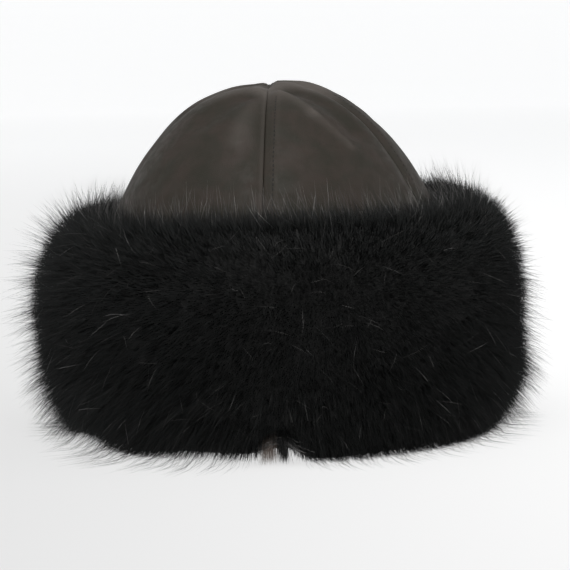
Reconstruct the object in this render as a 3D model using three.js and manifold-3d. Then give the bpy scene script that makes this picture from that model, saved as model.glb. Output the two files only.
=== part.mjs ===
// Papakha: a dome crown of five sewn leather gores, held in a deep cuff of long black fur.
// Millimetres, +Z up, front towards -Y. The origin is the middle of the oval that the hat rests on.
// A turn is an angle round the head's oval: 0 at the front, 90 at the wearer's left, towards +X.

import * as THREE from "three";
import { mergeVertices } from "three/addons/utils/BufferGeometryUtils.js";
import Module from "manifold-3d";

// Crown: the leather dome and the straight wall that the fur hides

const crownWidth = 176; // outside, ear to ear
const crownLength = 210; // outside, brow to nape
const domeRise = 71; // from the foot of the dome to the height its gores would meet at
const footSink = 7; // how far the foot of the dome sits below the top of the fur
const edgeLift = 3; // the leather's bottom edge above the table
const leatherWall = 2.2; // leather with the cloth that backs it
const seamGap = 0.3; // between two gores
const seamDip = 1.4; // how far a seam pulls the leather in
const seamSoftness = 5; // how far from its seam the leather has come up again
const gorePuff = 1.6; // how far the middle of a gore swells
const apexAside = 3; // how far the seams' meeting point lies to the wearer's right of the middle
const apexDip = 4.5; // depth of the pinched notch where the seams meet
const apexDipReach = 9; // how far that notch reaches from the middle
const creaseHeight = 1.8; // the strongest soft crease or dent in the leather

// Fur cuff: a pelt ring with its dense fur, and the locks that give it its outer form

const furHeight = 126; // table to the crest of the fur
const furDepth = 49; // from the crown out to the full edge of the fur
const furGap = 0.3; // between the crown and the pelt
const lockStand = 10; // from the hollows between the locks up to the full edge
const lockTip = 6; // how far the longest lock points stand past the full edge
const lockSweep = 10; // how far combing carries a lock's point aside
const locksRound = 42; // locks in each row round the cuff
const joinTurn = 2; // where the two ends of the pelt are sewn together
const joinReach = 14; // how far from the join its locks are swept aside, as a turn

// Seams between the gores, in the order of their turns

const gores = [
  { name: "crown_gore_front_left", from: -81, to: -4 },
  { name: "crown_gore_front_right", from: -4, to: 63 },
  { name: "crown_gore_right", from: 63, to: 135 },
  { name: "crown_gore_back", from: 135, to: 207 },
  { name: "crown_gore_left", from: 207, to: 279 },
];

// Dome section: out is a share of the crown's half width, up a share of domeRise
const domeSection = [
  { out: 0, up: 1 },
  { out: 0.17, up: 0.983 },
  { out: 0.32, up: 0.933 },
  { out: 0.47, up: 0.855 },
  { out: 0.61, up: 0.73 },
  { out: 0.73, up: 0.575 },
  { out: 0.84, up: 0.4 },
  { out: 0.92, up: 0.235 },
  { out: 0.98, up: 0.09 },
  { out: 1, up: 0 },
];

// Soft creases and dents. Each follows a line between two places on the dome, given as turns and as
// shares of the way from its top to its foot. Width is a share of the dome's rise, and raise a share
// of creaseHeight, negative for a dent.
const creases = [
  { turnA: 14, downA: 0.3, turnB: 36, downB: 0.6, width: 0.09, raise: 0.8 },
  { turnA: 34, downA: 0.27, turnB: 50, downB: 0.5, width: 0.13, raise: -1 },
  { turnA: -12, downA: 0.18, turnB: -22, downB: 0.62, width: 0.11, raise: 0.6 },
  { turnA: -26, downA: 0.2, turnB: -50, downB: 0.46, width: 0.13, raise: -1 },
  { turnA: 88, downA: 0.35, turnB: 104, downB: 0.7, width: 0.12, raise: -0.7 },
  { turnA: 158, downA: 0.3, turnB: 176, downB: 0.62, width: 0.13, raise: -0.8 },
  { turnA: 238, downA: 0.32, turnB: 226, downB: 0.66, width: 0.12, raise: -0.7 },
];

// Where the mesh lines run: across each gore, and down the dome and its straight wall
const columnShares = [0, 0.06, 0.18, 0.34, 0.5, 0.66, 0.82, 0.94, 1];
const domeRows = [0.035, 0.08, 0.14, 0.22, 0.3, 0.38, 0.47, 0.56, 0.66, 0.77, 0.88, 1];
const crownRows = [...domeRows, 1.35, 2];

// Fur section through the hollows between the locks. The reaches are shares of its depth, and the
// drops are shares of its height.
const crestInside = { reach: 0.16, drop: 0.07 };
const crestOutside = { reach: 0.7, drop: 0.42 };
const heelOutside = { reach: 0.5, drop: 0.37 };
const arcSteps = 5;

// Places where the fur is fuller or thinner than this section. Each has its turn, its share of the
// section's length, and how far it reaches both ways. Out is a share of furDepth and up of furHeight.
const fullness = [
  { turn: 75, at: 0.18, turnReach: 55, atReach: 0.18, out: 0.07, up: 0.04 },
  { turn: -90, at: 0.24, turnReach: 50, atReach: 0.14, out: 0.03, up: 0.008 },
  { turn: -90, at: 1, turnReach: 60, atReach: 0.17, out: -0.15, up: 0 },
  { turn: 90, at: 1, turnReach: 50, atReach: 0.14, out: -0.07, up: 0 },
];

// Rows of locks overlap by half, like roof tiles. In even steps from the crest to the heel, the combing
// turns from up and in to down: droop is a share of lockSweep.
const lockRows = 16;
const combDown = [{ droop: -0.6 }, { droop: -0.2 }, { droop: 0.4 }, { droop: 0.8 }, { droop: 0.5 }];

// Unevenness of neighbouring locks, as shares. It repeats an even number of times round the cuff.
const lockVariety = [
  { length: 1, aside: 0.9, full: 0.75 },
  { length: 0.7, aside: 0.4, full: 0.5 },
  { length: 0.92, aside: 1.1, full: 0.7 },
  { length: 0.6, aside: 0.7, full: 0.4 },
  { length: 0.85, aside: 0.2, full: 0.8 },
  { length: 0.75, aside: 1, full: 0.55 },
  { length: 0.95, aside: 0.6, full: 0.6 },
];

const halfWidth = crownWidth / 2;
const halfLength = crownLength / 2;
const fullHalfWidth = halfWidth + furDepth;
const fullHalfLength = halfLength + furDepth;
const footHeight = furHeight - footSink;
const degree = Math.PI / 180;
const cutPast = 20; // how far a cutting shape runs past what it cuts

const wasm = await Module();
wasm.setup();

// Places on and round the head's oval

function onOval(turn, halfX, halfY, height) {
  const angle = turn * degree;
  return new THREE.Vector3(halfX * Math.sin(angle), -halfY * Math.cos(angle), height);
}

// The level direction from the middle to a turn on the oval
function towards(turn) {
  return onOval(turn, halfWidth, halfLength, 0).normalize();
}

// The level direction that leaves the oval squarely at a turn
function awayFrom(turn) {
  return onOval(turn, halfLength, halfWidth, 0).normalize();
}

function bell(distance, reach) {
  return Math.exp(-((distance / reach) ** 2));
}

// Rows of points and the faces between them, collected into one closed geometry

class Skin {
  points = [];
  faces = [];

  row(points) {
    const first = this.points.length;
    this.points.push(...points);
    return points.map((_, i) => first + i);
  }

  geometry() {
    const places = this.points.flatMap((point) => point.toArray());
    const geometry = new THREE.BufferGeometry();
    geometry.setAttribute("position", new THREE.Float32BufferAttribute(places, 3));
    geometry.setIndex(this.faces);
    return geometry;
  }
}

// The faces between two rows of the same length, facing out where the rows run to the right
function strip(upper, lower, closed) {
  const faces = [];
  const count = closed ? upper.length : upper.length - 1;
  for (let i = 0; i < count; i += 1) {
    const j = (i + 1) % upper.length;
    faces.push(upper[i], lower[i], lower[j]);
    faces.push(upper[i], lower[j], upper[j]);
  }
  return faces;
}

function stripsBetween(rows, closed) {
  return rows.slice(1).flatMap((row, i) => strip(rows[i], row, closed));
}

function fan(middle, row, closed) {
  const faces = [];
  const count = closed ? row.length : row.length - 1;
  for (let i = 0; i < count; i += 1) {
    faces.push(middle, row[i], row[(i + 1) % row.length]);
  }
  return faces;
}

function turnedOver(faces) {
  const result = [];
  for (let i = 0; i < faces.length; i += 3) {
    result.push(faces[i], faces[i + 2], faces[i + 1]);
  }
  return result;
}

// Solids for joining and cutting

function solidFrom(geometry) {
  const bare = geometry.clone();
  bare.deleteAttribute("normal");
  bare.deleteAttribute("uv");
  const merged = mergeVertices(bare);
  const vertProperties = merged.getAttribute("position").array;
  const triVerts = new Uint32Array(merged.getIndex().array);
  return new wasm.Manifold(new wasm.Mesh({ numProp: 3, vertProperties, triVerts }));
}

function geometryFrom(solid) {
  const mesh = solid.getMesh();
  const geometry = new THREE.BufferGeometry();
  geometry.setAttribute("position", new THREE.BufferAttribute(mesh.vertProperties, mesh.numProp));
  geometry.setIndex(new THREE.BufferAttribute(mesh.triVerts, 1));
  return geometry;
}

// Crown

const domeCurve = new THREE.SplineCurve(domeSection.map((row) => new THREE.Vector2(row.out, row.up)));

// A place on the smooth dome, with down from 0 at the top to 1 at the foot
function domePoint(turn, down, inset) {
  const { x: out, y: up } = domeCurve.getPoint(down);
  const height = footHeight + up * (domeRise - inset);
  const point = onOval(turn, out * (halfWidth - inset), out * (halfLength - inset), height);
  point.x -= apexAside * (1 - out) ** 2;
  return point;
}

const creaseLines = creases.map((crease) => ({
  line: new THREE.Line3(
    domePoint(crease.turnA, crease.downA, 0),
    domePoint(crease.turnB, crease.downB, 0),
  ),
  reach: crease.width * domeRise,
  height: crease.raise * creaseHeight,
}));

// How far the leather stands out from the smooth dome. Across is 0 and 1 at the gore's seams.
function relief(gore, across, down) {
  const here = domePoint(THREE.MathUtils.lerp(gore.from, gore.to, across), down, 0);
  const radius = Math.hypot(here.x + apexAside, here.y);
  const toSeam = Math.min(across, 1 - across) * (gore.to - gore.from) * degree * radius;
  const puff = Math.sin(Math.PI * across) * THREE.MathUtils.smoothstep(down, 0, 0.25);
  let height = gorePuff * puff - seamDip * bell(toSeam, seamSoftness);
  for (const crease of creaseLines) {
    const nearest = crease.line.closestPointToPoint(here, true, new THREE.Vector3());
    height += crease.height * bell(nearest.distanceTo(here), crease.reach);
  }
  const fade = 1 - THREE.MathUtils.smoothstep(down, 0.75, 1);
  return height * fade - apexDip * bell(radius, apexDipReach);
}

// A place on the leather: inset is 0 on its outside and leatherWall on its inside. Past the foot of
// the dome, down goes on from 1 to 2 along the straight wall.
function crownPoint(gore, across, down, inset) {
  const turn = THREE.MathUtils.lerp(gore.from, gore.to, across);
  if (down > 1) {
    const height = THREE.MathUtils.lerp(footHeight, edgeLift, down - 1);
    return onOval(turn, halfWidth - inset, halfLength - inset, height);
  }
  const lean = (1 - down) * 90 * degree;
  const outward = onOval(turn, Math.cos(lean), Math.cos(lean), Math.sin(lean));
  return domePoint(turn, down, inset).addScaledVector(outward, relief(gore, across, down));
}

// The same place, half a seam gap short of the upright plane of the gore's own seam
function gorePoint(gore, across, down, inset) {
  const point = crownPoint(gore, across, down, inset);
  if (across > 0 && across < 1) return point;
  const seam = towards(across ? gore.to : gore.from);
  const side = across ? 1 : -1;
  const inward = new THREE.Vector3(seam.y * side, -seam.x * side, 0);
  return point.addScaledVector(inward, seamGap / 2);
}

// One gore: an outer and an inner skin from the top of the dome to the bottom edge, joined along
// both seams and the edge
function goreGeometry(gore) {
  const skin = new Skin();
  const halfAngle = towards(gore.from).angleTo(towards(gore.to)) / 2;
  const tipOut = seamGap / Math.sin(halfAngle);
  const sides = [0, leatherWall].map((inset) => {
    const top = crownPoint(gore, 0.5, 0, inset);
    top.addScaledVector(towards(gore.from).add(towards(gore.to)).normalize(), tipOut);
    const tip = skin.row([top]);
    const rows = crownRows.map((down) =>
      skin.row(columnShares.map((across) => gorePoint(gore, across, down, inset))),
    );
    const facing = [...fan(tip[0], rows[0], false), ...stripsBetween(rows, false)];
    const fromEdge = [tip[0], ...rows.map((row) => row[0])];
    const toEdge = [tip[0], ...rows.map((row) => row.at(-1))];
    return { facing, fromEdge, toEdge, bottom: rows.at(-1) };
  });
  const [outside, inside] = sides;
  skin.faces.push(
    ...outside.facing,
    ...turnedOver(inside.facing),
    ...turnedOver(strip(inside.fromEdge, outside.fromEdge, false)),
    ...strip(inside.toEdge, outside.toEdge, false),
    ...strip(outside.bottom, inside.bottom, false),
  );
  return skin.geometry();
}

// The space that the crown fills, with the gap that the pelt keeps from it, down past the table
function crownSpace() {
  const skin = new Skin();
  const loop = (down) =>
    gores.flatMap((gore) =>
      columnShares.slice(0, -1).map((across) => crownPoint(gore, across, down, -furGap)),
    );
  const [top, base] = skin.row([
    domePoint(0, 0, -furGap),
    new THREE.Vector3(0, 0, -cutPast),
  ]);
  const rows = crownRows.map((down) => skin.row(loop(down)));
  rows.push(skin.row(loop(2).map((point) => point.setZ(-cutPast))));
  skin.faces.push(
    ...fan(top, rows[0], true),
    ...stripsBetween(rows, true),
    ...turnedOver(fan(base, rows.at(-1), true)),
  );
  return solidFrom(skin.geometry());
}

// Fur cuff

function arc(centreOut, centreUp, size, fromAngle, toAngle) {
  const points = [];
  for (let i = 0; i <= arcSteps; i += 1) {
    const angle = THREE.MathUtils.lerp(fromAngle, toAngle, i / arcSteps) * degree;
    const out = centreOut + size.reach * Math.cos(angle);
    points.push(new THREE.Vector2(out, centreUp + size.drop * Math.sin(angle)));
  }
  return points;
}

// The section through the hollows between the locks: from the fur's inner crest over the top and down
// to its heel on the table. X is the distance out from the crown, and Y the height.
function hollowLine() {
  const depth = furDepth - lockStand;
  const top = furHeight - lockStand;
  const sized = (share) => ({ reach: share.reach * depth, drop: share.drop * top });
  const inner = sized(crestInside);
  const outer = sized(crestOutside);
  const heel = sized(heelOutside);
  return new THREE.SplineCurve([
    ...arc(inner.reach, top - inner.drop, inner, 180, 90),
    ...arc(depth - outer.reach, top - outer.drop, outer, 90, 0),
    ...arc(depth - heel.reach, heel.drop, heel, 0, -90),
  ]);
}

const furLine = hollowLine();

// The difference between two turns, from -180 to 180
function turnBetween(from, to) {
  return THREE.MathUtils.euclideanModulo(to - from + 180, 360) - 180;
}

function swelling(turn, at) {
  const total = new THREE.Vector2();
  for (const place of fullness) {
    const near = bell(turnBetween(place.turn, turn), place.turnReach) * bell(at - place.at, place.atReach);
    total.x += near * place.out * furDepth;
    total.y += near * place.up * furHeight;
  }
  return total;
}

// A place in the hollows, and the ways from it: out of the fur, down along it and across it
function furPlace(turn, at) {
  const { x: out, y: height } = furLine.getPointAt(at).add(swelling(turn, at));
  const slope = furLine.getTangentAt(at);
  const away = awayFrom(turn);
  return {
    foot: onOval(turn, halfWidth + out, halfLength + out, height),
    outward: new THREE.Vector3(-slope.y * away.x, -slope.y * away.y, slope.x),
    downward: new THREE.Vector3(slope.x * away.x, slope.x * away.y, slope.y),
    across: new THREE.Vector3(-away.y, away.x, 0),
  };
}

const droopCurve = new THREE.SplineCurve(combDown.map((row) => new THREE.Vector2(0, row.droop)));

function droopAt(at) {
  return droopCurve.getPoint(at).y;
}

// How far a lock is combed across: all one way, but away from the join low on the front
function combAcross(turn, at) {
  const fromJoin = turnBetween(joinTurn, turn);
  const parted = bell(fromJoin, joinReach) * THREE.MathUtils.smoothstep(at, 0.6, 0.85);
  return THREE.MathUtils.lerp(-1, Math.sign(fromJoin), parted);
}

// The point of a lock and the full place behind it
function lockPoints(turn, at, unevenness) {
  const { foot, outward, downward, across } = furPlace(turn, at);
  const narrowing = Math.hypot(foot.x, foot.y) / onOval(turn, fullHalfWidth, fullHalfLength, 0).length();
  const aside = lockSweep * narrowing * unevenness.aside * combAcross(turn, at);
  const point = foot.clone().addScaledVector(outward, (lockStand + lockTip) * unevenness.length);
  point.addScaledVector(downward, lockSweep * droopAt(at));
  point.addScaledVector(across, aside);
  const full = foot.addScaledVector(outward, lockStand * unevenness.full);
  return [full, point];
}

// A lock's faces between its four hollows, seen from outside. Behind is the hollow that its point is
// combed away from.
function lockFaces(behind, left, ahead, right, full, point) {
  return [
    ...[behind, left, full],
    ...[behind, full, right],
    ...[left, point, full],
    ...[full, point, right],
    ...[left, ahead, point],
    ...[ahead, right, point],
  ];
}

// The whole cuff: rows of hollows, a lock over each four of them, and behind them a plain ring that
// starts inside the crown's space
function uncutFur() {
  const skin = new Skin();
  const columns = Array.from({ length: locksRound }, (_, column) => column);
  const turnOf = (row, column) => ((column + (row % 2) / 2) / locksRound) * 360;
  const hollows = [];
  for (let row = 0; row <= lockRows; row += 1) {
    const at = row / lockRows;
    hollows.push(skin.row(columns.map((column) => furPlace(turnOf(row, column), at).foot)));
  }
  const hollow = (row, column) => hollows[row][(column + locksRound) % locksRound];
  for (let row = 1; row < lockRows; row += 1) {
    for (const column of columns) {
      const unevenness = lockVariety[(column + 3 * row) % lockVariety.length];
      const turn = turnOf(row + 1, column);
      const [full, point] = skin.row(lockPoints(turn, row / lockRows, unevenness));
      const left = hollow(row, column - (row % 2));
      const right = hollow(row, column - (row % 2) + 1);
      const above = hollow(row - 1, column);
      const below = hollow(row + 1, column);
      const faces =
        droopAt(row / lockRows) < 0
          ? turnedOver(lockFaces(below, left, above, right, full, point))
          : lockFaces(above, left, below, right, full, point);
      skin.faces.push(...faces);
    }
  }
  const insideRing = (height) =>
    skin.row(
      columns.map((column) =>
        onOval(turnOf(0, column), halfWidth - leatherWall, halfLength - leatherWall, height),
      ),
    );
  const crest = hollows[0];
  const heel = hollows[lockRows];
  const rings = [heel, insideRing(0), insideRing(furLine.getPoint(0).y), crest];
  skin.faces.push(...stripsBetween(rings, true));
  for (const column of columns) {
    const aboveHeel = hollow(lockRows - 1, column);
    const first = column - (lockRows % 2);
    skin.faces.push(crest[column], hollow(1, column), hollow(0, column + 1));
    skin.faces.push(aboveHeel, hollow(lockRows, first), hollow(lockRows, first + 1));
  }
  return solidFrom(skin.geometry());
}

// Cuts away the crown's space and what would reach below the table
function furGeometry() {
  const width = 2 * (fullHalfWidth + lockTip + cutPast);
  const length = 2 * (fullHalfLength + lockTip + cutPast);
  const belowTable = new THREE.BoxGeometry(width, length, cutPast);
  belowTable.translate(0, 0, -cutPast / 2);
  return geometryFrom(uncutFur().subtract(crownSpace()).subtract(solidFrom(belowTable)));
}

// Materials

const leather = new THREE.MeshStandardMaterial({ color: 0x413d38, roughness: 0.62, metalness: 0 });
const fur = new THREE.MeshStandardMaterial({ color: 0x141414, roughness: 0.85, metalness: 0 });

// The hat

const papakha = new THREE.Group();

function addPiece(name, geometry, material) {
  const piece = new THREE.Mesh(geometry, material.clone());
  piece.name = name;
  piece.geometry.computeVertexNormals();
  papakha.add(piece);
}

for (const gore of gores) {
  addPiece(gore.name, goreGeometry(gore), leather);
}
addPiece("fur_cuff", furGeometry(), fur);

export default papakha;
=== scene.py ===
# %% [markdown]
# # A papakha in soft leather and long black fur
#
# A papakha is a winter hat of the Caucasus and Central Asia. This one is a dome of dark leather,
# sewn from five gores, that stands in a deep cuff of long fur. A solid model of the hat, made to
# fit an adult's head, is there already. Here it gets its looks: leather that is thin, creased and
# stitched, and fur that is grown hair by hair.

import math
from collections import namedtuple

import bmesh
import bpy
import numpy as np
from mathutils import Matrix, Vector, kdtree


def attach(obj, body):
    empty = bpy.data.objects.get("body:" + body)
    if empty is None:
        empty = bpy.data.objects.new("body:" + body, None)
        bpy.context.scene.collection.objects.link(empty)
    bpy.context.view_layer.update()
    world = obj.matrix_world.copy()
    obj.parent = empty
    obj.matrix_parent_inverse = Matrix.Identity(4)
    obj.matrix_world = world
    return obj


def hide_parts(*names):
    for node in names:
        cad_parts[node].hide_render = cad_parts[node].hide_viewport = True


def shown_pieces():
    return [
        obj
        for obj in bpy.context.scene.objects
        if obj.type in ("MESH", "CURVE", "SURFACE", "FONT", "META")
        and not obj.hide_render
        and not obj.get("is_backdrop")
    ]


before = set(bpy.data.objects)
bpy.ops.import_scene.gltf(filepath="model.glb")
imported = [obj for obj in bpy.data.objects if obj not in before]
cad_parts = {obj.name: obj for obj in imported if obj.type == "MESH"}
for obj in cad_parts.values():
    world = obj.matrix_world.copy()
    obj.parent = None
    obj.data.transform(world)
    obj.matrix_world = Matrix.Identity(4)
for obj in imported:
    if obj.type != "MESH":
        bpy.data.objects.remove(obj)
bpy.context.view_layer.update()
MM = 0.001

# %% [markdown]
# ## The camera
#
# A hat in a shop's photograph is taken from far away with a long lens, so that it keeps its
# proportions. The lens follows from three things that can be judged in a picture: how far the
# camera is, how high it stands, and how wide the view is at the hat. The horizon was not quite
# level, so the camera is rolled a little.

# %% The camera
view_width = 317.5 * MM
view_distance = 1300 * MM
view_height = 200 * MM
view_centre = Vector((4.6, 0, 77.5)) * MM
view_roll = math.radians(-1.2)


def add_camera():
    place = Vector((view_centre.x, -view_distance, view_height))
    sight = view_centre - place
    data = bpy.data.cameras.new("camera")
    data.lens = data.sensor_width * sight.length / view_width
    camera = bpy.data.objects.new("camera", data)
    aim = sight.to_track_quat("-Z", "Y").to_matrix().to_4x4()
    camera.matrix_world = Matrix.Translation(place) @ aim @ Matrix.Rotation(view_roll, 4, "Z")
    bpy.context.scene.collection.objects.link(camera)
    bpy.context.scene.camera = camera
    return camera


camera = add_camera()
print("lens in mm:", round(camera.data.lens))

# %% [markdown]
# ## The studio
#
# A seamless floor curves up far behind the object, so no line shows where it ends. It could be a
# plain plane with a wall, but a ring of that profile, made with one spin, hides the line from
# every side.

# %% The floor
floor_reach = 9.0
floor_rise = 3.0
floor_curve_steps = 12
floor_sides = 96


def new_object(name, bm, smooth=True):
    mesh = bpy.data.meshes.new(name)
    bm.to_mesh(mesh)
    bm.free()
    mesh.polygons.foreach_set("use_smooth", [smooth] * len(mesh.polygons))
    piece = bpy.data.objects.new(name, mesh)
    bpy.context.scene.collection.objects.link(piece)
    return piece


def add_floor():
    bm = bmesh.new()
    profile = [Vector((0, 0, 0)), Vector((floor_reach, 0, 0))]
    for step in range(1, floor_curve_steps + 1):
        angle = math.radians(90 * step / floor_curve_steps)
        curve = Vector((math.sin(angle), 0, 1 - math.cos(angle)))
        profile.append(Vector((floor_reach, 0, 0)) + floor_rise * curve)
    verts = [bm.verts.new(place) for place in profile]
    edges = [bm.edges.new(pair) for pair in zip(verts, verts[1:])]
    bmesh.ops.spin(
        bm,
        geom=verts + edges,
        cent=(0, 0, 0),
        axis=(0, 0, 1),
        angle=math.tau,
        steps=floor_sides,
        use_merge=True,
    )
    bmesh.ops.remove_doubles(bm, verts=bm.verts[:], dist=1 * MM)
    return new_object("floor", bm)


floor = add_floor()
floor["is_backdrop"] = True
print("floor reach in m:", floor_reach)

# %% [markdown]
# ## The light
#
# Black fur swallows light, so a photographer fills the whole room with it. White surroundings
# stand for a light tent. A large soft lamp above the front shapes the dome and shows its creases,
# and two weaker ones bring a grey sheen to the sides of the fur.

# %% The light
Lamp = namedtuple("Lamp", "name place size watts")
lamps = (
    Lamp("lamp_front", (-0.2, -0.9, 1.75), 1.2, 30),
    Lamp("lamp_left", (-1.7, -0.4, 0.75), 1.2, 7),
    Lamp("lamp_right", (1.7, -0.4, 0.9), 1.4, 13),
)
surrounding_light = 0.5
surrounding_tone = (0.97, 0.985, 1, 1)


def add_lamp(lamp):
    data = bpy.data.lights.new(lamp.name, "AREA")
    data.shape = "SQUARE"
    data.size = lamp.size
    data.energy = lamp.watts
    light = bpy.data.objects.new(lamp.name, data)
    place = Vector(lamp.place)
    aim = (view_centre - place).to_track_quat("-Z", "Y").to_matrix().to_4x4()
    light.matrix_world = Matrix.Translation(place) @ aim
    bpy.context.scene.collection.objects.link(light)


for lamp in lamps:
    add_lamp(lamp)
world = bpy.data.worlds.new("light_tent")
world.use_nodes = True
surroundings = world.node_tree.nodes["Background"]
surroundings.inputs["Color"].default_value = surrounding_tone
surroundings.inputs["Strength"].default_value = surrounding_light
bpy.context.scene.world = world
bpy.context.scene.view_settings.view_transform = "Standard"
print("lamps:", [lamp.name for lamp in lamps])

# %% [markdown]
# ## Smooth lines
#
# Few points describe the dome's section and how the hairs droop, and a smooth line runs through
# them. Blender's curves could do that too, but a formula gives the places for many thousand
# points at once, and the hairs will need them.

# %% Smooth lines and soft steps
def smooth_line(points, shares):
    """Places on a smooth line through the points. Shares of the way count points, not length."""
    points = np.asarray(points, float)
    last = len(points) - 1
    way = np.clip(np.asarray(shares, float), 0, 1) * last
    first = np.minimum(way.astype(int), last - 1)
    t = (way - first)[..., None]
    a, b, c, d = (points[np.clip(first + step, 0, last)] for step in (-1, 0, 1, 2))
    bend = 2 * a - 5 * b + 4 * c - d
    twist = 3 * b - a - 3 * c + d
    return b + 0.5 * t * (c - a + t * (bend + t * twist))


def soft_step(value, low, high):
    t = np.clip((value - low) / (high - low), 0, 1)
    return t * t * (3 - 2 * t)


def bell(distance, reach):
    return np.exp(-((distance / reach) ** 2))


def mix(a, b, share):
    return a + (b - a) * share


def on_oval(turn, half_x, half_y):
    """Places round an oval: turn 0 is the front, 90 the wearer's left."""
    angle = np.radians(turn)
    return half_x * np.sin(angle), -half_y * np.cos(angle)


# %% [markdown]
# ## The shape of the crown
#
# The leather is not a plain dome. Each gore swells a little between its seams, the seams pull it
# in, all five meet in a pinched point, and handling has left soft creases and dents. One function
# says how far the leather stands out at any place, so that every gore, stitch and fold follows
# the same form. The large sizes are the solid model's, and the fine ones are added here.

# %% Sizes and creases of the crown
gores = {
    "crown_gore_front_left": (-81, -4),
    "crown_gore_front_right": (-4, 63),
    "crown_gore_right": (63, 135),
    "crown_gore_back": (135, 207),
    "crown_gore_left": (207, 279),
}
crown_half_width = 88 * MM
crown_half_length = 105 * MM
foot_height = 119 * MM
edge_height = 3 * MM
dome_rise = 71 * MM
leather_wall = 2.2 * MM
seam_gap = 0.02 * MM
seam_dip = 1.4 * MM
seam_softness = 5 * MM
seam_start = 22 * MM
groove_depth = 0.22 * MM
groove_width = 0.34 * MM
groove_at_apex = 0.25
hem_width = 6 * MM
hem_rise = 0.35 * MM
hem_slope = 1.2 * MM
hem_end = (hem_width + MM, hem_width + 3 * MM)
hem_start = (5 * MM, 38 * MM)
stitch_dip = 0.2 * MM
stitch_dip_width = 0.9 * MM
gore_puff = 1.6 * MM
puff_start = 0.25
smooth_foot = 0.75
apex_aside = 1.6 * MM
apex_dip = 1.4 * MM
apex_reach = 3 * MM
pinch_rise = 0.35 * MM
pinch_radius = 9 * MM
pinch_reach = 5 * MM
pinch_folds = 3
crease_height = 3 * MM
wave_heights = (0.22 * MM, 0.06 * MM)

dome_section = (
    (0, 1), (0.17, 0.983), (0.32, 0.933), (0.47, 0.855), (0.61, 0.73),
    (0.73, 0.575), (0.84, 0.4), (0.92, 0.235), (0.98, 0.09), (1, 0),
)
Crease = namedtuple("Crease", "turn_a down_a turn_b down_b width rise")
creases = (
    Crease(9, 0.25, 24, 0.43, 0.04, 0.5),
    Crease(24, 0.43, 36, 0.6, 0.032, 0.4),
    Crease(26, 0.235, 45, 0.52, 0.1, -1),
    Crease(-12, 0.20, -17, 0.55, 0.07, 0.38),
    Crease(-23, 0.29, -41, 0.45, 0.11, -1),
    Crease(25, 0.11, 85, 0.13, 0.15, 0.45),
    Crease(-60, 0.03, 120, 0.03, 0.1, 0.42),
    Crease(-60, 0.10, -85, 0.80, 0.2, -0.45),
    Crease(85, 0.42, 90, 0.85, 0.2, -0.55),
    Crease(-4, 0.02, -4, 0.12, 0.028, -0.35),
    Crease(176, 0.02, 176, 0.16, 0.028, -0.55),
    Crease(88, 0.35, 104, 0.70, 0.12, -0.7),
    Crease(158, 0.30, 176, 0.62, 0.13, -0.8),
    Crease(238, 0.32, 226, 0.66, 0.12, -0.7),
)


def dome_place(turn, down):
    """A place on the smooth dome, and past its foot, where down is 1, on its straight wall."""
    section = smooth_line(dome_section, down)
    x, y = on_oval(turn, section[..., 0] * crown_half_width, section[..., 0] * crown_half_length)
    x = x - apex_aside * (1 - section[..., 0]) ** 2
    sunk = np.clip(down - 1, 0, 1) * (foot_height - edge_height)
    return np.stack([x, y, foot_height + section[..., 1] * dome_rise - sunk], -1)


def from_apex(places):
    return np.hypot(places[..., 0] + apex_aside, places[..., 1])


def from_line(places, start, end):
    way = end - start
    share = np.clip((places - start) @ way / (way @ way), 0, 1)
    return np.linalg.norm(places - start - share[..., None] * way, axis=-1)


print("gores:", len(gores), "creases:", len(creases))

# %% [markdown]
# ## How the leather stands out
#
# A sculpted mesh could have the same puffed gores, seams, creases and folded hems, but it would
# fit one size only. Here they are heights over the smooth dome, added up for any place. A second
# function says where the material makes the leather lighter: wear at the top, hems and seams, a
# painted highlight along raised creases, and painted shade that darkens it again in the dents.

# %% How far the leather stands out
def wrinkles(places):
    """Slight unevenness that any soft leather has, from long and short waves that cross."""
    x, y, z = np.moveaxis(places / MM, -1, 0)
    long_waves = np.sin(x / 11 + 2 * np.sin(y / 17)) * np.sin(y / 13 + z / 9)
    short_waves = np.sin(x / 4.1 + 3 * np.sin(z / 12)) * np.sin(y / 5.3 - z / 6.1)
    return wave_heights[0] * long_waves + wave_heights[1] * short_waves


def crease_distances(places):
    """Each crease, with how far the places are from it."""
    for crease in creases:
        start = dome_place(np.array(crease.turn_a), np.array(crease.down_a))
        end = dome_place(np.array(crease.turn_b), np.array(crease.down_b))
        yield crease, from_line(places, start, end)


def relief(gore, turn, down):
    """How far the leather stands out of the smooth dome in one gore."""
    first, last = gores[gore]
    here = dome_place(turn, down)
    radius = from_apex(here)
    across = (turn - first) / (last - first)
    from_first = np.radians(turn - first) * radius
    from_last = np.radians(last - turn) * radius
    to_seam = np.minimum(from_first, from_last)
    height = gore_puff * np.sin(math.pi * np.clip(across, 0, 1)) * soft_step(down, 0, puff_start)
    height = height - seam_dip * bell(to_seam, seam_softness) * soft_step(radius, 0, seam_start)
    for crease, away in crease_distances(here):
        height = height + crease.rise * crease_height * bell(away, crease.width * dome_rise)
    height = height + wrinkles(here)
    height = height * (1 - soft_step(down, smooth_foot, 1)) - apex_dip * bell(radius, apex_reach)
    folds = np.cos(pinch_folds * math.tau * across)
    height = height + pinch_rise * folds * bell(radius - pinch_radius, pinch_reach)
    clear_of_apex = soft_step(radius, *hem_start)
    hem = soft_step(from_first, 0, hem_slope) * (1 - soft_step(from_first, *hem_end))
    height = height + hem_rise * hem * clear_of_apex
    height = height - stitch_dip * bell(from_first - hem_width, stitch_dip_width) * clear_of_apex
    groove = bell(to_seam, groove_width) * mix(groove_at_apex, 1, clear_of_apex)
    return height - groove_depth * groove


top_wear_radius = 27 * MM
top_wear_reach = 17 * MM
edge_wear_reach = 1.2 * MM
hem_wear_place = hem_width + 2 * MM
seam_wear_place = 1.5 * MM
crease_light_width = 1.1
top_wear, hem_wear, seam_wear, crease_light_and_shade = 0.85, 0.1, 0.25, 1.1


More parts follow.
